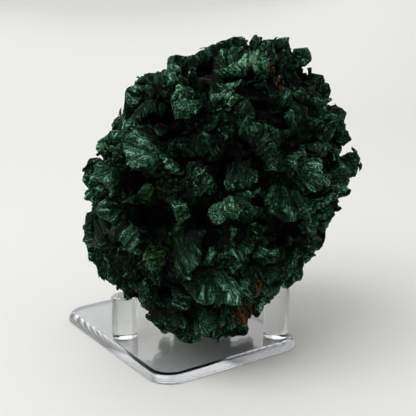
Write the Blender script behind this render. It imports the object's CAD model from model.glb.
# A silky malachite specimen on its clear acrylic stand, dressed over the solids in their own frame.
import math

import bmesh
import bpy
import numpy as np
from mathutils import Matrix, Vector


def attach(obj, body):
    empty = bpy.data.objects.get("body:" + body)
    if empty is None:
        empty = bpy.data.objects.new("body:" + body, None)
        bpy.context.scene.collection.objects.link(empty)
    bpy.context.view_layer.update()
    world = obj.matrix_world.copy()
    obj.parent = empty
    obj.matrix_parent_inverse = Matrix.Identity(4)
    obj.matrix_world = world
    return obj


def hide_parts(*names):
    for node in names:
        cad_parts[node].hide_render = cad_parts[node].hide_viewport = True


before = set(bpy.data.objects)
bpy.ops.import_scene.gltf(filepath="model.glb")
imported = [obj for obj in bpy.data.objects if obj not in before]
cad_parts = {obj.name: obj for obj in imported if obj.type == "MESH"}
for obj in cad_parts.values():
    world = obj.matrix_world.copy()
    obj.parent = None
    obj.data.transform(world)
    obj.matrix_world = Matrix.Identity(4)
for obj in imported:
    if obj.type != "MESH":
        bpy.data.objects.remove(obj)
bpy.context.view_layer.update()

MM = 0.001

# Stone: its own frame looks along +y at the face that shows best, with x to the right and z up.
# Lengths are millimetres and angles are degrees, as in the part's own source.
TURN = 55.76
SEAT = dict(right=15.5, toward=10.0, up=59.0)
FRONT = 33.0
BACK = 45.0
FULLNESS = 0.62
LEAN = 0.13
SHIFT = -1.5
TUCK = dict(below=-18.0, rate=0.009)
SWELL = dict(amount=0.045, across=6.0, deep=7.0, up=6.5)
REACH = np.array([39, 41, 46, 52, 46.5, 42.5, 43.5, 39.5, 39.5, 43, 43, 44, 44, 48.5, 44, 34.5, 34, 35.5])

# Hollows sink into the body (deep is positive) and lobes stand out of it; rear ones are on the back
HOLLOWS = [
    dict(x=-3, z=43, size=6, deep=10, rear=False),
    dict(x=-18, z=26.5, size=5, deep=12, rear=False),
    dict(x=-24, z=9, size=5, deep=12, rear=False),
    dict(x=-24, z=-1, size=5.5, deep=14, rear=False),
    dict(x=-15, z=-22.5, size=4.5, deep=11, rear=False),
    dict(x=12, z=34, size=5, deep=7, rear=False),
    dict(x=-4, z=-5, size=5, deep=8, rear=False),
    dict(x=22, z=-7, size=7, deep=9, rear=False),
    dict(x=-30, z=-34, size=5, deep=9, rear=False),
    dict(x=1, z=11, size=5, deep=6, rear=False),
    dict(x=-10, z=15, size=4, deep=7, rear=False),
    dict(x=24, z=14, size=8, deep=9, rear=True),
    dict(x=-20, z=22, size=9, deep=11, rear=True),
    dict(x=6, z=-8, size=8, deep=9, rear=True),
    dict(x=-28, z=-12, size=7, deep=9, rear=True),
    dict(x=-12, z=-20, size=20, deep=-9, rear=True),
    dict(x=-13.5, z=-28, size=9, deep=-14, rear=True),
]

# Fans on the face: x, z, heading, lean, roll, length, spread, thick
FACE_FANS = [
    (4, 41.5, 104, 20, 12, 14.5, 52, 5),
    (0, 46, 172, 46, 60, 11, 24, 4),
    (7, 40, 222, 26, 0, 19, 27, 5.5),
    (-17, 33, 106, 24, 0, 15, 42, 5.5),
    (-11, 40, 100, 20, 10, 12, 36, 6.5),
    (-7, 36.5, 184, 32, -30, 15, 15, 6.5),
    (-20, 28, 140, 30, -20, 12, 38, 6.5),
    (-13, 30, 205, 40, 70, 15, 18, 4.5),
    (-4, 33, 228, 46, -25, 15, 24, 6.5),
    (-14, 21, 174, 30, 15, 22, 21, 5),
    (-15, 19, 203, 32, -10, 19, 29, 5.5),
    (-32, 24, 262, 30, 30, 13, 18, 5.5),
    (-7, 24, 285, 40, 0, 12, 32, 6.5),
    (-13, 9, 20, 34, 10, 13, 36, 5.5),
    (-19, 2, 110, 45, 0, 12, 40, 9),
    (-16, 3, 8, 36, -15, 14, 30, 5.5),
    (6, -4, 95, 50, 5, 16, 58, 8),
    (-14, -1, 300, 26, 18, 19, 22, 6.5),
    (-8, -3, 25, 30, 30, 13, 16, 5),
    (-15, -8, 315, 30, 0, 18, 22, 7.5),
    (-25, -8, 235, 40, 0, 15, 42, 9),
    (-14, -11, 225, 34, -20, 15, 36, 5.5),
    (-13, -12, 290, 30, 15, 13, 28, 5.5),
    (0, -14, 255, 34, 0, 19, 40, 7.5),
    (8, -16, 300, 34, -15, 18, 38, 7.5),
    (-12, -26, 330, 34, 10, 15, 32, 7.5),
    (-6, -28, 275, 28, 50, 16, 22, 6.5),
    (-13, -30, 244, 30, 0, 12.5, 42, 8.5),
    (-9, -32, 262, 24, 0, 13, 38, 8.5),
    (5, -28, 282, 26, 0, 14.5, 42, 8.5),
    (13, -26, 305, 30, 0, 12, 38, 8),
    (26, -3, 325, 32, 14, 14, 36, 7.5),
    (19, -16, 315, 30, 0, 13, 36, 7.5),
    (8, -1, 325, 40, 60, 13, 15, 5),
    (27, 20, 90, 22, 8, 20, 23, 7.5),
    (31, 20, 55, 42, -10, 14, 46, 8.5),
    (20, 20, 200, 40, 0, 15, 38, 7.5),
    (22, 10, 250, 34, 0, 18, 38, 7.5),
    (14, 27, 240, 40, 10, 14, 38, 7.5),
    (6, 18, 290, 45, 0, 14, 38, 7.5),
    (-30, 11, 200, 38, 30, 15, 38, 7.5),
    (-31, -1, 195, 40, 0, 14.5, 40, 7.5),
    (-30, -10, 180, 44, -30, 14.5, 40, 7.5),
    (-28, -17, 225, 38, 0, 16, 42, 8.5),
    (23, 42, 62, 24, -15, 13, 28, 6.5),
    (15, 42, 95, 30, 20, 13, 42, 7.5),
]

# The fans of the face that show their long fibres bare, by their place in the list
BARE = {0, 2, 3, 4, 6, 9, 10, 11, 17, 19, 20, 23, 26, 34, 40, 41, 42}

# Fans round the outline: angle, reach from the middle, half spread
RIM_FANS = [
    (0, 46, 22), (14, 52, 18), (31, 53, 26), (45, 54.5, 26), (59, 58.5, 26), (68, 60, 30),
    (82, 54.5, 30), (97, 50.5, 32), (109, 51, 30), (121, 50, 34), (131, 48, 34), (146, 46, 34),
    (160, 46.5, 30), (176, 49, 38), (190, 47.5, 36), (209, 51, 32), (221, 50.5, 26), (242, 50, 34),
    (256, 52.5, 34), (270, 58.5, 36), (285, 47, 34), (312, 41.5, 32), (333, 44, 32), (348, 42.5, 30),
]
# The same for the heel, the lobe low on the left that lies over the front peg
HEEL_FANS = [(209, 53, 40), (221, 55, 42), (233, 51, 38), (216, 49, 44)]
RIM = dict(root=9.0, thick=(6.0, 9.0), sway=5.0, twist=1.6)
# Rim fans start longer than their reach, and frayed ends are pressed most of the way back toward it. Away
# from a fan's own angle the outline falls in by so many mm a degree, until the next fan reaches further.
OVERGROWN = 3.0
OUTLINE_FALL = 0.35
PRESSED_BACK = 0.7
# The outline's own unevenness: size of lumps, how far they push, and a seed
OUTLINE_LUMPS = [(4.5, 1.6, 47), (10.0, 2.0, 57)]

FILL = dict(count=62, crowd=0.75, rim_belt=0.26, clear=8.0, lean=(22.0, 62.0), roll=110.0,
            height=(3.5, 6.0), length=(14.0, 19.0), spread=(32.0, 52.0), thick=(7.0, 10.5))
FACE_HEIGHT = 8.5
LEAST_SUNK = 2.5
FAN = dict(columns=3, root=0.15, ragged=0.2, slant=0.14, ridge=0.1, cup=0.12)
FIRST_SEED = dict(rim=100, fill=200, medium=500, small=1000, rider=4000, overlay=6000, tuft=9000,
                  granule=15000)
GOLDEN = math.pi * (3 - math.sqrt(5))
# Uneven growth: size of lumps, how far they push, and a seed
CRINKLES = [(12.0, 2.4, 3), (5.5, 1.5, 13), (2.6, 1.2, 23), (1.2, 0.5, 33)]

# A fan's finer form. Frayed ends lose these shares of the length, and a broken layer on the face starts,
# wanders and ends at these shares of it, leaving the fan thinner and darker past its edge.
FRAY = dict(lobe=0.13, rib=0.03, thread=0.02, corner=0.20)
LAYER = dict(start=0.35, wander=0.5, edge=0.07, thinner=0.22, darker=0.2)
THICKNESS = dict(root=0.45, gain=0.60, side_loss=0.4, tip_pinch=0.75, pinch_power=10)
BEND = 0.24
THREAD_SWING = 0.04
RELIEF = dict(root=0.25, gain=0.75, thread=0.35, lobe=0.12)
LIGHT = dict(root=0.45, gain=0.55, furrow=0.25, crest=0.75, rib=0.55, thread=0.55)

# Sheaves between the large fans, and finer ones that ride on them
SMALL = dict(stray=0.05, deepest=0.6, lean=(20, 70), spread=(26, 56))
RIDER = dict(across=(-0.65, 0.65), root=0.45, gain=0.55, side_loss=0.5, sunk=0.8, stray=0.25, roll=60)

# How bare of other stone a place is: the crowding at which none of it shows, and how fast that eases
SHADOW = dict(crowded=0.80, ease=0.5, least=0.1, most=0.9, hollow=0.92)
TONE = dict(own=0.3, base=0.35, patch=0.7)
HOLLOW_DEPTH = dict(start=0.5, full=5.0)
TOUCH_GAP = 0.3  # kept between the stone and the stand

# Stand
PLATE = dict(width=80.2, depth=63.4, thick=3.175, corner=9.5, round=3.0)
CORNER_STEPS = 36
ROUND_STEPS = 20
HAIR = 0.05  # inset of the wide faces, which keeps their own normals flat
PEG = dict(dia=9.525, edge=0.35, front_height=15.875, rear_height=22.225)
FRONT_PEG_Y = -23.5
REAR_PEG = (31.9, 23.9)
FLOOR_GAP = 0.3
GLUE = 0.05  # the weld line under a peg, which catches the light as a ring

# Light: the sky's strength, and each soft box's place from the stone (right, toward, up), size and power
SKY = 0.49
SOFT_BOXES = {"key_upper_left": (-0.55, 0.5, 0.9, 1.1, 10.0), "from_behind": (-0.1, -0.75, 0.5, 0.9, 1.3)}
GLASS_BOUNCES = 24
SHINE_BOUNCES = 20

# Camera, fitted to the stand in the photo
EYE = (249.4, -155.3, 122.2)
BACKWARD = (0.8026, -0.5463, 0.2398)
FOCAL_PX = 793.6
PHOTO_PX = 416
SENSOR = 36.0

turn = math.radians(TURN)
RIGHT = np.array([math.cos(turn), math.sin(turn), 0.0])
AWAY = np.array([-math.sin(turn), math.cos(turn), 0.0])
UP = np.array([0.0, 0.0, 1.0])
MIDDLE = SEAT["right"] * RIGHT - SEAT["toward"] * AWAY + SEAT["up"] * UP


def chance(i, k):
    """A fixed number from 0 to 1 for each pair of whole numbers."""
    wave = np.sin(np.asarray(i) * 12.9898 + np.asarray(k) * 78.233) * 43758.5453
    return wave - np.floor(wave)


def between(limits, t):
    return limits[0] + (limits[1] - limits[0]) * t


def ripple(i, x, k):
    """Smooth noise from 0 to 1 along x, with a new value at each whole number."""
    whole = np.floor(x)
    t = x - whole
    t = t * t * (3 - 2 * t)
    return chance(i, whole + k) * (1 - t) + chance(i, whole + 1 + k) * t


def lumps(points, size, k):
    """Smooth noise from -1 to 1 in space, in lumps of the given size."""
    place = points / size + 100.3
    low = np.floor(place)
    t = place - low
    t = t * t * (3 - 2 * t)
    total = 0.0
    for dx, dy, dz in np.ndindex(2, 2, 2):
        corner = (low[..., 0] + dx) * 1.31 + (low[..., 1] + dy) * 7.17 + (low[..., 2] + dz) * 17.93
        weight = (np.abs(1 - dx - t[..., 0]) * np.abs(1 - dy - t[..., 1]) * np.abs(1 - dz - t[..., 2]))
        total = total + weight * chance(corner, k)
    return 2 * total - 1


def crinkled(points):
    """Bends every piece of the stone by the same uneven growth, coarse and fine."""
    for size, amount, k in CRINKLES:
        points = points + amount * np.stack([lumps(points, size, k + j) for j in range(3)], -1)
    return points


def held_in(points):
    """Presses tips that reach past the outline most of the way back to it."""
    angle = np.degrees(np.arctan2(points[..., 2], points[..., 0]))
    edge = np.zeros_like(angle)
    for middle, to, _ in RIM_FANS + HEEL_FANS:
        away = np.abs((angle - middle + 180) % 360 - 180)
        edge = np.maximum(edge, to - OUTLINE_FALL * away)
    edge += sum(amount * lumps(points, size, k) for size, amount, k in OUTLINE_LUMPS)
    ring = np.hypot(points[..., 0], points[..., 2])
    inward = (ring - PRESSED_BACK * np.maximum(ring - edge, 0)) / ring
    return points * np.stack([inward, np.ones_like(inward), inward], -1)


def unit(v):
    return v / np.linalg.norm(v, axis=-1, keepdims=True)


def facing(y):
    """0 at the outline and past it, rising to 1 on the face."""
    return np.clip(y * 2.5, 0, 1)


def reach_at(angle):
    n = len(REACH)
    place = np.mod(angle / (2 * math.pi) * n, n)
    i = np.floor(place).astype(int)
    t = place - i
    a, b, c, d = (REACH[(i + k) % n] for k in (-1, 0, 1, 2))
    bend = (2 * a - 5 * b + 4 * c - d) * t * t + (3 * b - a - 3 * c + d) * t * t * t
    return 0.5 * (2 * b + (c - a) * t + bend)


def skin(way):
    """Points of the body's surface in directions from its middle."""
    side, deep, rise = way[..., 0], way[..., 1], way[..., 2]
    angle = np.arctan2(rise, side)
    ring = np.hypot(side, rise) ** FULLNESS * reach_at(angle)
    x, z = ring * np.cos(angle), ring * np.sin(angle)
    y = np.where(deep < 0, FRONT, BACK) * deep
    for h in HOLLOWS:
        near = np.exp(-((x - h["x"]) ** 2 + (z - h["z"]) ** 2) / h["size"] ** 2)
        y = y + h["deep"] * near * (-facing(deep) if h["rear"] else facing(-deep))
    tuck = TUCK["rate"] * np.minimum(z - TUCK["below"], 0) ** 2 * facing(-deep)
    waves = np.sin(x / SWELL["across"] + 1) * np.sin(y / SWELL["deep"] + 2) * np.sin(z / SWELL["up"])
    swell = 1 + SWELL["amount"] * waves
    return np.stack([x * swell, y * swell + LEAN * z + SHIFT + tuck, z * swell], -1)


def seat_at(way):
    """Surface points and their outward normals."""
    step = 0.03
    up = np.where(np.abs(way[..., 1:2]) > 0.9, [1.0, 0, 0], [0, 1.0, 0])
    one = unit(np.cross(up, way))
    two = np.cross(way, one)
    at = skin(way)
    side = skin(unit(way + step * one)) - at
    rise = skin(unit(way + step * two)) - at
    return at, unit(np.cross(side, rise))


def way_to_face(x, z):
    angle = math.atan2(z, x)
    flat = min(math.hypot(x, z) / float(reach_at(np.array(angle))), 0.995) ** (1 / FULLNESS)
    return np.array([flat * math.cos(angle), -math.sqrt(1 - flat * flat), flat * math.sin(angle)])


def turned(v, axis, degrees):
    a = math.radians(degrees)
    return v * math.cos(a) + np.cross(axis, v) * math.sin(a) + axis * np.dot(axis, v) * (1 - math.cos(a))


def fan_on(at, normal, heading, lean, roll, height, **size):
    """A fan rooted in a surface, raised from it by lean and rolled round its own length."""
    level = unit(heading - normal * np.dot(heading, normal))
    rise = math.radians(lean)
    along = level * math.cos(rise) + normal * math.sin(rise)
    flat = turned(unit(normal - along * np.dot(normal, along)), along, roll)
    sunk = max(LEAST_SUNK * min(size["length"] / 14, 1), size["length"] * math.sin(rise) - height)
    return dict(at=at - normal * sunk, along=along, flat=flat, **size)


def heading_in_view(degrees):
    a = math.radians(degrees)
    return np.array([math.cos(a), 0.0, math.sin(a)])


def any_heading(seed):
    return np.array([float(chance(seed, k)) - 0.5 for k in (1, 2, 3)])


def face_fans():
    fans = []
    for i, (x, z, heading, lean, roll, length, spread, thick) in enumerate(FACE_FANS):
        at, normal = seat_at(way_to_face(x, z))
        fans.append(fan_on(at, normal, heading_in_view(heading), lean, roll, FACE_HEIGHT,
                           length=length, spread=spread, thick=thick, seed=i))
    return fans


def rim_fans():
    fans = []
    for i, (angle, to, spread) in enumerate(RIM_FANS + HEEL_FANS):
        seed = FIRST_SEED["rim"] + i
        along = heading_in_view(angle)
        start = float(np.linalg.norm(skin(along))) - RIM["root"]
        root = along * start
        root[1] += LEAN * root[2] + SHIFT + RIM["sway"] * (chance(seed, 1) - 0.6)
        flat = turned(np.array([0, -1.0, 0]), along, math.degrees(RIM["twist"] * (chance(seed, 2) - 0.5)))
        fans.append(dict(at=root, along=along, flat=flat, length=to - start + OVERGROWN, spread=spread,
                         thick=between(RIM["thick"], chance(seed, 3)), seed=seed))
    return fans


def spiral(count, crowd):
    """Directions spread by the golden angle, drawn from the outline toward the face and the back."""
    i = np.arange(count)
    even = 1 - 2 * (i + 0.5) / count
    y = np.sign(even) * np.abs(even) ** crowd
    ring = np.sqrt(1 - y * y)
    return np.stack([ring * np.cos(i * GOLDEN), y, ring * np.sin(i * GOLDEN)], -1)


def fill_fans():
    taken = [skin(way_to_face(fan[0], fan[1])) for fan in FACE_FANS]
    taken += [skin(way_to_face(h["x"], h["z"])) for h in HOLLOWS if not h["rear"]]
    taken = np.array(taken)
    fans = []
    for i, way in enumerate(spiral(FILL["count"], FILL["crowd"])):
        seed = FIRST_SEED["fill"] + i
        if abs(way[1]) < FILL["rim_belt"]:
            continue
        at, normal = seat_at(way)
        if way[1] < 0 and np.linalg.norm(taken - at, axis=1).min() < FILL["clear"]:
            continue
        fans.append(fan_on(at, normal, any_heading(seed),
                           between(FILL["lean"], chance(seed, 4)), FILL["roll"] * (chance(seed, 6) - 0.5),
                           between(FILL["height"], chance(seed, 10)),
                           length=between(FILL["length"], chance(seed, 7)),
                           spread=between(FILL["spread"], chance(seed, 8)),
                           thick=between(FILL["thick"], chance(seed, 9)), seed=seed))
    return fans


def small_fans(count, first, length, thick, height):
    """Sheaves between the large fans, all over the body."""
    fans = []
    stray = np.stack([chance(np.arange(count), k) - 0.5 for k in (61, 62, 63)], -1)
    seats, normals = seat_at(unit(spiral(count, FILL["crowd"]) + SMALL["stray"] * stray))
    for i in np.nonzero(sunk_in(seats) < SMALL["deepest"])[0]:
        seed = first + i
        fans.append(fan_on(seats[i], normals[i], any_heading(seed),
                           between(SMALL["lean"], chance(seed, 4)), FILL["roll"] * (chance(seed, 6) - 0.5),
                           between(height, chance(seed, 10)),
                           length=between(length, chance(seed, 7)),
                           spread=between(SMALL["spread"], chance(seed, 8)),
                           thick=between(thick, chance(seed, 9)), seed=seed))
    return fans


def riders(hosts, count, first, start, lean, length, spread, thick, height):
    """Finer sheaves that grow out of the broad faces of larger fans, along their fibres."""
    fans = []
    for j in range(count):
        for host in hosts:
            seed = host["seed"] * 7.0 + j * 3001 + first
            across_at = between(RIDER["across"], chance(seed, 21))
            along_at = between(start, chance(seed, 22))
            across = unit(np.cross(host["along"], host["flat"]))
            face = np.cross(across, host["along"])
            side = 1.0 if np.dot(face, host["out"]) > 0 else -1.0
            swing = math.radians(across_at * host["spread"])
            fibre = host["along"] * math.cos(swing) + across * math.sin(swing)
            half = (host["thick"] / 2 * (RIDER["root"] + RIDER["gain"] * along_at)
                    * (1 - RIDER["side_loss"] * across_at ** 2))
            at = (host["at"] + fibre * host["length"] * RIDER["sunk"] * along_at
                  + face * side * half * RIDER["sunk"])
            fans.append(fan_on(at, face * side, fibre + RIDER["stray"] * any_heading(seed),
                               between(lean, chance(seed, 4)), RIDER["roll"] * (chance(seed, 6) - 0.5),
                               between(height, chance(seed, 10)),
                               length=between(length, chance(seed, 7)),
                               spread=between(spread, chance(seed, 8)),
                               thick=between(thick, chance(seed, 9)), seed=seed))
    return fans


def with_outward(fans):
    """Notes for each fan which way is out of the stone."""
    for fan in fans:
        tip = fan["at"] + fan["along"] * fan["length"] * 0.6
        fan["out"] = unit(tip * np.array([1.0, 1.25, 1.0]))
    return fans


def fan_shape(columns, rows):
    """The net that every fan is made from: a slab with u across, v along and w through it."""
    bm = bmesh.new()
    bmesh.ops.create_grid(bm, x_segments=columns, y_segments=rows, size=1.0)
    grown = bmesh.ops.extrude_face_region(bm, geom=bm.faces[:])["geom"]
    top = [part for part in grown if isinstance(part, bmesh.types.BMVert)]
    bmesh.ops.translate(bm, verts=top, vec=(0, 0, 2))
    bmesh.ops.translate(bm, verts=bm.verts[:], vec=(0, 0, -1))
    bmesh.ops.recalc_face_normals(bm, faces=bm.faces[:])
    bm.verts.index_update()
    co = np.array([v.co[:] for v in bm.verts])
    faces = np.array([[v.index for v in f.verts] for f in bm.faces])
    open_edges = sum(1 for e in bm.edges if len(e.link_faces) != 2)
    bm.free()
    if open_edges:
        raise RuntimeError("the fan's net is open")
    return dict(u=co[:, 0], v=(co[:, 1] + 1) / 2, w=co[:, 2], faces=faces, columns=columns)


def fan_points(fans, shape, rib_size, rib_height, rough):
    """Places of every fan's points, in mm, with each point's fibre coordinates and lightness."""
    u, v, w = (shape[key][None, :] for key in "uvw")
    length, thick, seed = (np.array([float(f[key]) for f in fans])[:, None]
                           for key in ("length", "thick", "seed"))
    spread = np.radians(np.array([float(f["spread"]) for f in fans]))[:, None]
    at, along, flat = (np.array([f[key] for f in fans]) for key in ("at", "along", "flat"))
    across = unit(np.cross(along, flat))
    face = np.cross(across, along)
    side = (u + 1) / 2

    # The same broad raggedness and ridges as the solid, drawn smoothly between its columns
    third = side * FAN["columns"]
    low = np.minimum(np.floor(third + 1e-6), FAN["columns"] - 1)
    mix = third - low
    ragged = chance(seed, low + 11) * (1 - mix) + chance(seed, low + 12) * mix
    ridge = FAN["ridge"] * thick * v * (np.where(low % 2 == 1, 1, -1) * (1 - 2 * mix))

    # Finer: lobes of a few mm, ribs along the fibres, loose threads, and broken layers on the faces
    lobe = ripple(seed, side * 5 + 0.01, 31)
    ribs = np.maximum(2 * spread * length * 0.8 / rib_size, 2.0)
    rib = 1 - np.abs(2 * ripple(seed, side * ribs + 0.01, 71) - 1)
    column = np.round(side * shape["columns"])
    thread = chance(seed, column + 131)
    fray = (FRAY["lobe"] * (1 - lobe) + FRAY["rib"] * (1 - rib) + FRAY["thread"] * thread
            + FRAY["corner"] * u ** 4)
    slant = 1 - FAN["slant"] * (1 - w) / 2
    grown = (1 - FAN["root"]) * v * (1 - FAN["ragged"] * ragged) * slant * (1 - v * fray)
    reach = length * (FAN["root"] + grown)
    bend = BEND * (chance(seed, 41) - 0.5)
    swing = u * spread + bend * v * v + THREAD_SWING * spread * (thread - 0.5)
    broken = LAYER["wander"] * ripple(seed + w, side * 6 + 0.01, 51)
    step = np.clip((v - LAYER["start"] - broken) / LAYER["edge"], 0, 1)
    pinch = np.sqrt(np.maximum(1 - THICKNESS["tip_pinch"] * v ** THICKNESS["pinch_power"], 0))
    half = (thick / 2 * (THICKNESS["root"] + THICKNESS["gain"] * v) * (1 - THICKNESS["side_loss"] * u * u)
            * pinch * (1 - LAYER["thinner"] * step))
    ribbing = rib_height * ((rib - 0.5) + RELIEF["thread"] * (thread - 0.5))
    relief = (RELIEF["root"] + RELIEF["gain"] * v) * ribbing + RELIEF["lobe"] * thick * v * (lobe - 0.5)
    cup = FAN["cup"] * np.where(chance(seed, 5) < 0.5, -1, 1) * length
    grain = np.arange(u.shape[1])[None, :]
    lift = w * (half + relief) + ridge + cup * u * u * v + rough * (chance(seed, grain + 301) - 0.5)

    spots = (at[:, None, :] + along[:, None, :] * (reach * np.cos(swing))[..., None]
             + across[:, None, :] * (reach * np.sin(swing))[..., None] + face[:, None, :] * lift[..., None])
    fibre = np.stack([swing * length + 37 * chance(seed, 17), reach + w * 0.2 + 0 * u], -1)
    crest = np.clip(LIGHT["rib"] * rib + LIGHT["thread"] * thread, 0, 1)
    light = ((LIGHT["root"] + LIGHT["gain"] * v) * (LIGHT["furrow"] + LIGHT["crest"] * crest)
             * (1 - LAYER["darker"] * step))
    tone = chance(seed, 19) + 0 * spots[..., 0]
    return spots, fibre, light, tone


def crowding(samples):
    """How much stone lies round each place: a blurred count on a fine block of cells."""
    cell, half = 1.6, 46
    reach, blur = 6, 2.4
    grid = np.zeros((2 * half,) * 3, dtype=np.float32)
    index = np.clip(np.floor(samples / cell).astype(int) + half, 0, 2 * half - 1)
    grid[index[:, 0], index[:, 1], index[:, 2]] = 1.0
    kernel = np.exp(-(np.arange(-reach, reach + 1) / blur) ** 2 / 2)
    kernel /= kernel.sum()
    for axis in range(3):
        grid = sum(weight * np.roll(grid, shift - reach, axis) for shift, weight in enumerate(kernel))

    def at(points):
        place = np.clip(points / cell + half - 0.5, 0, 2 * half - 1.001)
        low = np.floor(place).astype(int)
        mix = place - low
        total = np.zeros(len(points))
        for dx, dy, dz in np.ndindex(2, 2, 2):
            corner = np.minimum(low + [dx, dy, dz], 2 * half - 1)
            weight = np.prod(np.where([dx, dy, dz], mix, 1 - mix), axis=1)
            total += weight * grid[corner[:, 0], corner[:, 1], corner[:, 2]]
        return total
    return at


def stone_samples(fans):
    """Points all through the body and the large fans."""
    ways = unit(spiral(9000, 1.0))
    centre = np.array([0, SHIFT, 0])
    body = [centre + (skin(ways) - centre) * t for t in np.linspace(0.03, 1, 34)]
    u, v, w = (part.ravel()[None, :] for part in np.meshgrid(
        np.linspace(-1, 1, 15), np.linspace(0, 1, 11), np.linspace(-0.9, 0.9, 6), indexing="ij"))
    net = dict(u=u[0], v=v[0], w=w[0], columns=14)
    inside = fan_points(fans, net, 1.0, 0.0, 0.0)[0].reshape(-1, 3)
    return np.concatenate(body + [inside])


# Patches on the face: middle (x, z), size, and what they are: paler or dimmer stone, or a stain
PATCHES = [
    dict(x=-25, z=20, size=7, hue="pale", strength=1.0),
    dict(x=4, z=49, size=6, hue="pale", strength=0.8),
    dict(x=1, z=36, size=5, hue="pale", strength=1.3),
    dict(x=12, z=47, size=3.5, hue="pale", strength=1.8),
    dict(x=-14, z=42, size=7, hue="pale", strength=0.2),
    dict(x=-38, z=5, size=9, hue="pale", strength=0.55),
    dict(x=4, z=5, size=6, hue="pale", strength=0.6),
    dict(x=4, z=-18, size=7, hue="pale", strength=0.7),
    dict(x=-10, z=-12, size=5, hue="pale", strength=0.6),
    dict(x=-26, z=-12, size=4, hue="pale", strength=0.6),
    dict(x=16, z=10, size=5, hue="pale", strength=0.3),
    dict(x=6, z=18, size=7, hue="dim", strength=1.5),
    dict(x=-7, z=21, size=5, hue="dim", strength=1.5),
    dict(x=-18, z=27, size=5, hue="dim", strength=1),
    dict(x=-4, z=42, size=4.5, hue="dim", strength=1.4),
    dict(x=-28, z=3, size=6, hue="dim", strength=1.2),
    dict(x=-15, z=-22, size=4, hue="dim", strength=2),
    dict(x=-6, z=-4, size=4, hue="dim", strength=0.9),
    dict(x=12, z=33, size=5, hue="dim", strength=0.6),
    dict(x=20, z=-7, size=9, hue="dim", strength=0.8),
    dict(x=26, z=31, size=5, hue="dim", strength=0.7),
    dict(x=13, z=-22, size=3, hue="dim", strength=0.8),
    dict(x=-20, z=-35, size=8, hue="dim", strength=0.7),
    dict(x=23, z=49, size=5, hue="dim", strength=0.4),
    dict(x=-20, z=6, size=5, hue="olive", strength=0.9),
    dict(x=-18, z=-13, size=7, hue="olive", strength=0.8),
    dict(x=-9, z=-2, size=6, hue="olive", strength=0.5),
    dict(x=8, z=0, size=5, hue="olive", strength=0.4),
    dict(x=13, z=-8, size=6, hue="olive", strength=0.4),
    dict(x=-1, z=15, size=5, hue="rust", strength=0.55),
    dict(x=20, z=40, size=3, hue="rust", strength=0.95),
    dict(x=18, z=45, size=3, hue="rust", strength=0.72),
    dict(x=13, z=-23, size=3, hue="rust", strength=0.75),
    dict(x=9, z=-36, size=8, hue="rust", strength=0.68),
    dict(x=0, z=-44, size=7, hue="rust", strength=0.6),
    dict(x=3, z=3, size=4, hue="rust", strength=0.5),
]


def patch(points, hue):
    """How much of a patch colour shows at points in the stone's frame."""
    amount = np.zeros(points.shape[:-1])
    for p in PATCHES:
        if p["hue"] == hue:
            near = np.exp(-((points[..., 0] - p["x"]) ** 2 + (points[..., 2] - p["z"]) ** 2) / p["size"] ** 2)
            amount = np.maximum(amount, p["strength"] * near * (points[..., 1] < 2))
    return amount


def sunk_in(points):
    """From 0 on the open face or back to 1 some way down in a hollow."""
    x, z = points[..., 0], points[..., 2]
    flat = np.minimum(np.hypot(x, z) / reach_at(np.arctan2(z, x)), 0.99) ** (1 / FULLNESS)
    middle = LEAN * z + SHIFT
    dome = np.sqrt(1 - flat * flat)
    depth = np.where(points[..., 1] < middle, points[..., 1] - (middle - FRONT * dome),
                     middle + BACK * dome - points[..., 1])
    down = np.clip((depth - HOLLOW_DEPTH["start"]) / HOLLOW_DEPTH["full"], 0, 1)
    return down * np.clip((0.93 - flat) / 0.15, 0, 1)


def stone_object(name, points, faces, fibre, light, tone, material, crowd):
    """One mesh piece of the stone from points in its own frame."""
    points = points.reshape(-1, 3)
    open_air = np.clip((SHADOW["crowded"] - crowd(points)) / SHADOW["ease"], 0, 1)
    points = held_in(crinkled(points))
    shown = (SHADOW["least"] + SHADOW["most"] * open_air) * (1 - SHADOW["hollow"] * sunk_in(points))
    patched = patch(points, "pale") - patch(points, "dim")
    tone = TONE["own"] * tone.ravel() + TONE["base"] + TONE["patch"] * patched
    look = np.stack([light.ravel() * shown, patch(points, "olive"), patch(points, "rust"), tone], -1)
    world = (MIDDLE + points[:, :1] * RIGHT + points[:, 1:2] * AWAY + points[:, 2:] * UP) * MM
    floor = (PLATE["thick"] + TOUCH_GAP) * MM
    world[:, 2] = np.maximum(world[:, 2], floor)
    world = clear_of_pegs(world)
    mesh = bpy.data.meshes.new(name)
    mesh.vertices.add(len(world))
    mesh.vertices.foreach_set("co", world.ravel())
    mesh.loops.add(faces.size)
    mesh.loops.foreach_set("vertex_index", faces.ravel().astype(np.int32))
    mesh.polygons.add(len(faces))
    mesh.polygons.foreach_set("loop_start", np.arange(0, faces.size, faces.shape[1], dtype=np.int32))
    mesh.update(calc_edges=True)
    uv = mesh.uv_layers.new(name="fibre")
    uv.data.foreach_set("uv", fibre.reshape(-1, 2)[faces.ravel()].ravel())
    attribute = mesh.attributes.new("look", "FLOAT_COLOR", "POINT")
    attribute.data.foreach_set("color", look.ravel())
    mesh.polygons.foreach_set("use_smooth", np.ones(len(faces), dtype=bool))
    mesh.materials.append(material)
    piece = bpy.data.objects.new(name, mesh)
    bpy.context.scene.collection.objects.link(piece)
    return piece


def clear_of_pegs(world):
    """Moves points that would lie in a peg out of it, sideways or up onto its top."""
    room = TOUCH_GAP * MM
    for x, y, height in peg_places():
        offset = world[:, :2] - np.array([x, y]) * MM
        gap = np.linalg.norm(offset, axis=1)
        radius = PEG["dia"] / 2 * MM + room
        top = (PLATE["thick"] + height) * MM + room
        inside = (gap < radius) & (world[:, 2] < top)
        up_first = inside & (top - world[:, 2] < radius - gap)
        aside = inside & ~up_first
        world[up_first, 2] = top
        world[aside, :2] = np.array([x, y]) * MM + offset[aside] / gap[aside, None] * radius
    return world


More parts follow.
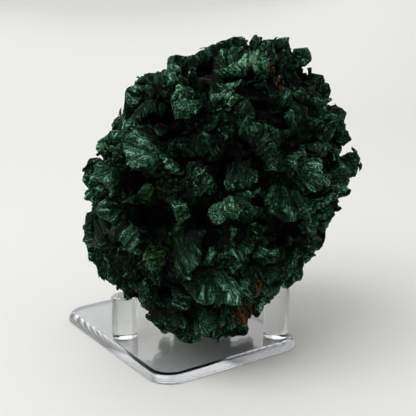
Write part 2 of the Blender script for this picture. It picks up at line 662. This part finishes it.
def peg_places():
    return [(0.0, FRONT_PEG_Y, PEG["front_height"]), (REAR_PEG[0], REAR_PEG[1], PEG["rear_height"]),
            (-REAR_PEG[0], REAR_PEG[1], PEG["rear_height"])]


def joined(name, fans, shape, material, crowd, rib_size, rib_height, rough):
    spots, fibre, light, tone = fan_points(fans, shape, rib_size, rib_height, rough)
    count = spots.shape[1]
    faces = (shape["faces"][None] + np.arange(len(fans))[:, None, None] * count).reshape(-1, 4)
    return stone_object(name, spots, faces, fibre, light, tone, material, crowd)


def body_core(material, crowd):
    """The stone's body under its fans, with a grainy face."""
    bm = bmesh.new()
    bmesh.ops.create_icosphere(bm, subdivisions=7, radius=1.0)
    ways = np.array([v.co[:] for v in bm.verts])
    bm.verts.index_update()
    faces = np.array([[v.index for v in f.verts] for f in bm.faces])
    bm.free()
    at, normal = seat_at(unit(ways))
    bumps = (np.sin(at[:, 0] * 1.9 + at[:, 2]) * np.sin(at[:, 1] * 1.7 + 0.6 * at[:, 0])
             * np.sin(at[:, 2] * 2.1))
    grain = chance(np.arange(len(at)), 3) - 0.5
    points = at + normal * (-1.0 + 0.8 * bumps + 0.5 * grain)[:, None]
    fibre = np.stack([points[:, 0], points[:, 2]], -1)
    light = 0.28 + 0.2 * bumps + 0.25 * grain
    return stone_object("body_core", points, faces, fibre, light, light * 0 + 0.3, material, crowd)


def linear(hex_colour):
    """An sRGB hex colour as the linear values that a shader takes."""
    value = hex_colour.lstrip("#")
    parts = [int(value[i:i + 2], 16) / 255 for i in (0, 2, 4)]
    return [c / 12.92 if c <= 0.04045 else ((c + 0.055) / 1.055) ** 2.4 for c in parts] + [1.0]


def add(tree, kind, settings=None, links=None):
    """One shader node: settings go on the node or its sockets, links come from other nodes' outputs."""
    node = tree.nodes.new(kind)
    for key, value in (settings or {}).items():
        if isinstance(key, str) and hasattr(node, key):
            setattr(node, key, value)
        else:
            node.inputs[key].default_value = value
    for key, source in (links or {}).items():
        tree.links.new(source, node.inputs[key])
    return node


def new_material(name):
    material = bpy.data.materials.new(name)
    material.use_nodes = True
    tree = material.node_tree
    tree.nodes.clear()
    return material, tree


def fill_stops(colour_ramp, stops):
    """Gives a colour ramp its stops, from the lowest place to the highest."""
    first, last = colour_ramp.elements[0], colour_ramp.elements[-1]
    first.position = stops[0][0]
    last.position = stops[-1][0]
    first.color = linear(stops[0][1])
    last.color = linear(stops[-1][1])
    for place, colour in stops[1:-1]:
        colour_ramp.elements.new(place).color = linear(colour)


# Colours of the fresh stone and its two stains, from the darkest place to the brightest
GREENS = [(0.333, "#000000"), (0.467, "#010402"), (0.587, "#05140b"), (0.700, "#0f2b1d"),
          (0.840, "#38624a"), (1.0, "#8fc0a2")]
OLIVES = [(0.307, "#000000"), (0.440, "#010501"), (0.600, "#091a08"), (0.813, "#274a20")]
RUSTS = [(0.307, "#000000"), (0.440, "#060402"), (0.600, "#1c1209"), (0.813, "#54381f")]
# How much each part counts toward the brightness of a place
COUNTS = dict(shade=0.74, tone=0.36, cloud=0.22)
GRAIN_SIZE = 0.8
CLOUD_SIZE = 9.0


def malachite(name, specks, lines):
    """Fibrous malachite, grown in sheaves of fine needles: dark, with a soft silky streak along each
    bundle and bright specks where needles end, deeper toward the roots, olive or rusty where iron has
    stained it. The granular kind between the sheaves has more specks than streaks."""
    material, tree = new_material(name)
    fibre = add(tree, "ShaderNodeUVMap", {"uv_map": "fibre"}).outputs["UV"]
    look = add(tree, "ShaderNodeAttribute", {"attribute_name": "look"})
    parts = add(tree, "ShaderNodeSeparateColor", links={"Color": look.outputs["Color"]})
    shade, olive, rust, tone = parts.outputs[0], parts.outputs[1], parts.outputs[2], look.outputs["Alpha"]

    # Needle bundles about 0.6 mm wide and 14 mm long, with finer ones in them
    stretch = add(tree, "ShaderNodeMapping", {"Scale": (1.5, 0.07, 1)}, {"Vector": fibre})
    streak = add(tree, "ShaderNodeTexNoise", {"Scale": 1.0, "Detail": 4.0, "Roughness": 0.7},
                 {"Vector": stretch.outputs["Vector"]}).outputs["Fac"]
    place = add(tree, "ShaderNodeTexCoord").outputs["Object"]
    grain = add(tree, "ShaderNodeTexNoise",
                {"Scale": 1 / GRAIN_SIZE / MM, "Detail": 3.0, "Roughness": 0.65},
                {"Vector": place}).outputs["Fac"]
    cloud = add(tree, "ShaderNodeTexNoise", {"Scale": 1 / CLOUD_SIZE / MM, "Detail": 2.0},
                {"Vector": place}).outputs["Fac"]

    speck = add(tree, "ShaderNodeMapRange", {"From Min": 0.41, "From Max": 0.60},
                {"Value": grain}).outputs[0]
    line = add(tree, "ShaderNodeMapRange", {"From Min": 0.36, "From Max": 0.66},
               {"Value": streak}).outputs[0]
    value = add(tree, "ShaderNodeMath", {"operation": "MULTIPLY", 1: specks}, {0: speck}).outputs[0]
    counted = [(line, lines), (shade, COUNTS["shade"]), (tone, COUNTS["tone"]), (cloud, COUNTS["cloud"])]
    for part, count in counted:
        value = add(tree, "ShaderNodeMath", {"operation": "MULTIPLY_ADD", 1: count},
                    {0: part, 2: value}).outputs[0]
    height = add(tree, "ShaderNodeMapRange", {"From Min": 0.02, "From Max": 1.52},
                 {"Value": value}).outputs[0]
    colours = []
    for stops in (GREENS, OLIVES, RUSTS):
        ramp = add(tree, "ShaderNodeValToRGB", links={"Fac": height})
        fill_stops(ramp.color_ramp, stops)
        colours.append(ramp.outputs["Color"])
    green, olive_green, rusty = colours

    olive_edge = add(tree, "ShaderNodeMath", {"operation": "MULTIPLY_ADD", 1: 1.0},
                     {0: cloud, 2: olive}).outputs[0]
    olive_mix = add(tree, "ShaderNodeMapRange", {"From Min": 0.75, "From Max": 1.15}, {"Value": olive_edge})
    rust_edge = add(tree, "ShaderNodeMath", {"operation": "MULTIPLY_ADD", 1: 0.9},
                    {0: grain, 2: rust}).outputs[0]
    rust_mix = add(tree, "ShaderNodeMapRange", {"From Min": 0.98, "From Max": 1.10}, {"Value": rust_edge})
    one = add(tree, "ShaderNodeMix", {"data_type": "RGBA"},
              {0: olive_mix.outputs["Result"], 6: green, 7: olive_green}).outputs[2]
    colour = add(tree, "ShaderNodeMix", {"data_type": "RGBA"},
                 {0: rust_mix.outputs["Result"], 6: one, 7: rusty}).outputs[2]

    bump_streak = add(tree, "ShaderNodeBump", {"Strength": 0.8, "Distance": 0.35 * MM}, {"Height": streak})
    bump = add(tree, "ShaderNodeBump", {"Strength": 0.7, "Distance": 0.4 * MM},
               {"Height": grain, "Normal": bump_streak.outputs["Normal"]})
    shader = add(tree, "ShaderNodeBsdfPrincipled",
                 {"Roughness": 0.55, "Specular IOR Level": 0.06},
                 {"Base Color": colour, "Normal": bump.outputs["Normal"]})
    add(tree, "ShaderNodeOutputMaterial", links={"Surface": shader.outputs["BSDF"]})
    return material


def clear_acrylic(name, low, high):
    """Clear acrylic, with fine scuffs that blur what is seen through it: the plate's faces are nearly
    glassy, its milled and buffed edges show a soft milky band, and the rods are polished."""
    material, tree = new_material(name)
    place = add(tree, "ShaderNodeTexCoord").outputs["Object"]
    lines = add(tree, "ShaderNodeTexNoise", {"Scale": 1 / 3.0 / MM, "Detail": 5.0, "Roughness": 0.7},
                {"Vector": place}).outputs["Fac"]
    rough = add(tree, "ShaderNodeMapRange",
                {"From Min": 0.55, "From Max": 0.75, "To Min": low, "To Max": high}, {"Value": lines})
    shader = add(tree, "ShaderNodeBsdfPrincipled",
                 {"Base Color": linear("#f7f8f8"), "IOR": 1.49, "Transmission Weight": 1.0},
                 {"Roughness": rough.outputs["Result"]})
    absorb = add(tree, "ShaderNodeVolumeAbsorption", {"Color": linear("#e4e6f4"), "Density": 3.0})
    add(tree, "ShaderNodeOutputMaterial",
        links={"Surface": shader.outputs["BSDF"], "Volume": absorb.outputs["Volume"]})
    return material


def mesh_object(name, bm, material):
    bmesh.ops.recalc_face_normals(bm, faces=bm.faces[:])
    mesh = bpy.data.meshes.new(name)
    bm.to_mesh(mesh)
    bm.free()
    mesh.polygons.foreach_set("use_smooth", np.ones(len(mesh.polygons), dtype=bool))
    mesh.set_sharp_from_angle(angle=math.radians(35))
    mesh.materials.append(material)
    piece = bpy.data.objects.new(name, mesh)
    bpy.context.scene.collection.objects.link(piece)
    return piece


def stand_plate(face_material, edge_material):
    bm = bmesh.new()
    bmesh.ops.create_cube(bm, size=1.0)
    size = (PLATE["width"] * MM, PLATE["depth"] * MM, PLATE["thick"] * MM)
    bmesh.ops.scale(bm, vec=size, verts=bm.verts[:])
    bmesh.ops.translate(bm, vec=(0, 0, size[2] / 2), verts=bm.verts[:])
    upright = [e for e in bm.edges if abs(e.verts[0].co.z - e.verts[1].co.z) > size[2] / 2]
    bmesh.ops.bevel(bm, geom=upright, offset=PLATE["corner"] * MM, segments=CORNER_STEPS, profile=0.5,
                    affect="EDGES", material=-1)
    top = [e for e in bm.edges if all(v.co.z > size[2] * 0.99 for v in e.verts) and len(e.link_faces) == 2
           and any(f.normal.z < 0.5 for f in e.link_faces)]
    bmesh.ops.bevel(bm, geom=top, offset=PLATE["round"] * MM, segments=ROUND_STEPS, profile=0.5,
                    affect="EDGES", material=-1)
    wide = [f for f in bm.faces if abs(f.normal.z) > 0.999 and f.calc_area() > size[0] * size[1] / 2]
    bmesh.ops.inset_individual(bm, faces=wide, thickness=HAIR * MM)
    for face in bm.faces:
        face.material_index = 0 if abs(face.normal.z) > 0.98 else 1
    plate = mesh_object("plate_clear", bm, face_material)
    plate.data.materials.append(edge_material)
    return plate


def stand_peg(name, x, y, height, material):
    bm = bmesh.new()
    radius, tall = PEG["dia"] / 2 * MM, (height - GLUE) * MM
    bmesh.ops.create_cone(bm, cap_ends=True, segments=72, radius1=radius, radius2=radius, depth=tall)
    rims = [e for e in bm.edges if abs(e.verts[0].co.z - e.verts[1].co.z) < 1e-6]
    bmesh.ops.bevel(bm, geom=rims, offset=PEG["edge"] * MM, segments=3, profile=0.5,
                    affect="EDGES", material=-1)
    base = (PLATE["thick"] + GLUE) * MM
    bmesh.ops.translate(bm, vec=(x * MM, y * MM, base + tall / 2), verts=bm.verts[:])
    return mesh_object(name, bm, material)


def studio():
    """A pale bowl of a floor with soft light from above, and the camera of the photo."""
    material, tree = new_material("paper_sweep_matt")
    shader = add(tree, "ShaderNodeBsdfPrincipled", {"Base Color": linear("#ededea"), "Roughness": 0.9})
    add(tree, "ShaderNodeOutputMaterial", links={"Surface": shader.outputs["BSDF"]})
    bm = bmesh.new()
    flat, rise, wall, turns = 0.7, 0.5, 0.5, 12
    start = bm.verts.new((0, 0, -FLOOR_GAP * MM))
    profile = [start, bm.verts.new((flat, 0, -FLOOR_GAP * MM))]
    for k in range(1, turns + 1):
        a = math.radians(90 * k / turns)
        profile.append(bm.verts.new((flat + rise * math.sin(a), 0, rise * (1 - math.cos(a)))))
    profile.append(bm.verts.new((flat + rise, 0, rise + wall)))
    edges = [bm.edges.new(pair) for pair in zip(profile, profile[1:])]
    bmesh.ops.spin(bm, geom=profile + edges, cent=(0, 0, 0), axis=(0, 0, 1), angle=2 * math.pi,
                   steps=64, use_merge=True, use_duplicate=False)
    bmesh.ops.remove_doubles(bm, verts=bm.verts[:], dist=1e-6)
    floor = mesh_object("floor_sweep", bm, material)

    world = bpy.data.worlds.new("soft_sky")
    bpy.context.scene.world = world
    world.use_nodes = True
    world.node_tree.nodes["Background"].inputs["Color"].default_value = linear("#f4f5f6")
    world.node_tree.nodes["Background"].inputs["Strength"].default_value = SKY

    for name, (right, toward, up, size, power) in SOFT_BOXES.items():
        light = bpy.data.lights.new(name, "AREA")
        light.size = size
        light.energy = power
        lamp = bpy.data.objects.new(name, light)
        bpy.context.scene.collection.objects.link(lamp)
        target = Vector(MIDDLE * MM)
        lamp.location = target + Vector(right * RIGHT - toward * AWAY + up * UP)
        lamp.rotation_mode = "QUATERNION"
        lamp.rotation_quaternion = (target - lamp.location).to_track_quat("-Z", "Y")

    back = Vector(BACKWARD).normalized()
    right = Vector((0, 0, 1)).cross(back).normalized()
    up = back.cross(right)
    camera = bpy.data.objects.new("camera", bpy.data.cameras.new("camera"))
    bpy.context.scene.collection.objects.link(camera)
    camera.matrix_world = Matrix.Translation(Vector(EYE) * MM) @ Matrix(
        (right, up, back)).transposed().to_4x4()
    camera.data.sensor_width = SENSOR
    camera.data.lens = SENSOR * FOCAL_PX / PHOTO_PX
    camera.data.clip_start = 0.01
    bpy.context.scene.camera = camera
    bpy.context.scene.view_settings.view_transform = "Standard"
    bpy.context.scene.cycles.max_bounces = GLASS_BOUNCES
    bpy.context.scene.cycles.glossy_bounces = SHINE_BOUNCES
    bpy.context.scene.cycles.transmission_bounces = GLASS_BOUNCES


def stone():
    """All of the stone's pieces, which together replace its one solid."""
    bare = malachite("malachite_long_fibres", specks=0.24, lines=0.46)
    silky = malachite("malachite_silky_fibrous", specks=0.36, lines=0.40)
    grainy = malachite("malachite_granular", specks=0.52, lines=0.10)
    large = with_outward(face_fans() + rim_fans())
    filling = with_outward(fill_fans())
    crowd = crowding(stone_samples(large + filling))
    medium = small_fans(190, FIRST_SEED["medium"], (9.0, 14.0), (2.6, 4.5), (3.5, 6.5))
    small = small_fans(520, FIRST_SEED["small"], (5.0, 8.5), (1.8, 3.4), (1.0, 2.2))
    tufts = small_fans(3600, FIRST_SEED["tuft"], (1.8, 3.4), (0.8, 1.6), (0.6, 1.6))
    grown_over = [fan for fan in large + filling if fan["seed"] not in BARE]
    overlays = riders(grown_over, 3, FIRST_SEED["overlay"], (0.05, 0.4), (4, 20), (7.0, 12.0),
                      (12, 28), (1.6, 3.0), (1.0, 2.4))
    splinters = riders(grown_over, 6, FIRST_SEED["rider"], (0.2, 0.75), (6, 26), (3.0, 6.0),
                       (9, 24), (0.8, 1.6), (0.5, 1.3))
    granules = riders(grown_over, 24, FIRST_SEED["granule"], (0.1, 1.0), (10, 55), (1.4, 3.2),
                      (24, 44), (0.8, 1.6), (0.3, 0.9))
    long_fibred = [fan for fan in large if fan["seed"] in BARE]
    overgrown = [fan for fan in large if fan["seed"] not in BARE]
    # Each piece's fans, the columns and rows of their net, the material, and how wide and high the ribs
    # are and how rough the faces, in mm
    grown = [
        ("fans_bare", long_fibred, (52, 20), bare, 1.5, 0.9, 0.1),
        ("fans_face_and_rim", overgrown, (36, 14), silky, 1.8, 1.1, 0.15),
        ("fans_between", filling, (30, 10), silky, 1.8, 1.1, 0.15),
        ("fans_medium", medium, (24, 8), silky, 1.2, 0.7, 0.15),
        ("sheaves_small", small, (6, 3), silky, 1.1, 0.6, 0.2),
        ("overlays", overlays, (8, 4), silky, 1.1, 0.7, 0.15),
        ("splinters", splinters, (6, 3), silky, 0.8, 0.4, 0.1),
        ("tufts", tufts, (3, 2), grainy, 0.8, 0.4, 0.2),
        ("granules", granules, (3, 2), grainy, 0.8, 0.4, 0.2),
    ]
    pieces = [body_core(grainy, crowd)]
    for name, fans, net, material, rib_size, rib_height, rough in grown:
        pieces.append(joined(name, fans, fan_shape(*net), material, crowd, rib_size, rib_height, rough))
    for piece in pieces:
        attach(piece, "root")
        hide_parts("malachite")


def stand():
    sheet = clear_acrylic("acrylic_clear_sheet_face", 0.03, 0.09)
    milled = clear_acrylic("acrylic_clear_milled_edge", 0.16, 0.26)
    polished = clear_acrylic("acrylic_clear_polished_rod", 0.012, 0.08)
    names = ["front_peg", "rear_peg_right", "rear_peg_left"]
    pieces = {"base_plate": stand_plate(sheet, milled)}
    for node, (x, y, height) in zip(names, peg_places()):
        pieces[node] = stand_peg(node + "_clear", x, y, height, polished)
    for node, piece in pieces.items():
        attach(piece, "root")
        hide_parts(node)


studio()
stone()
stand()
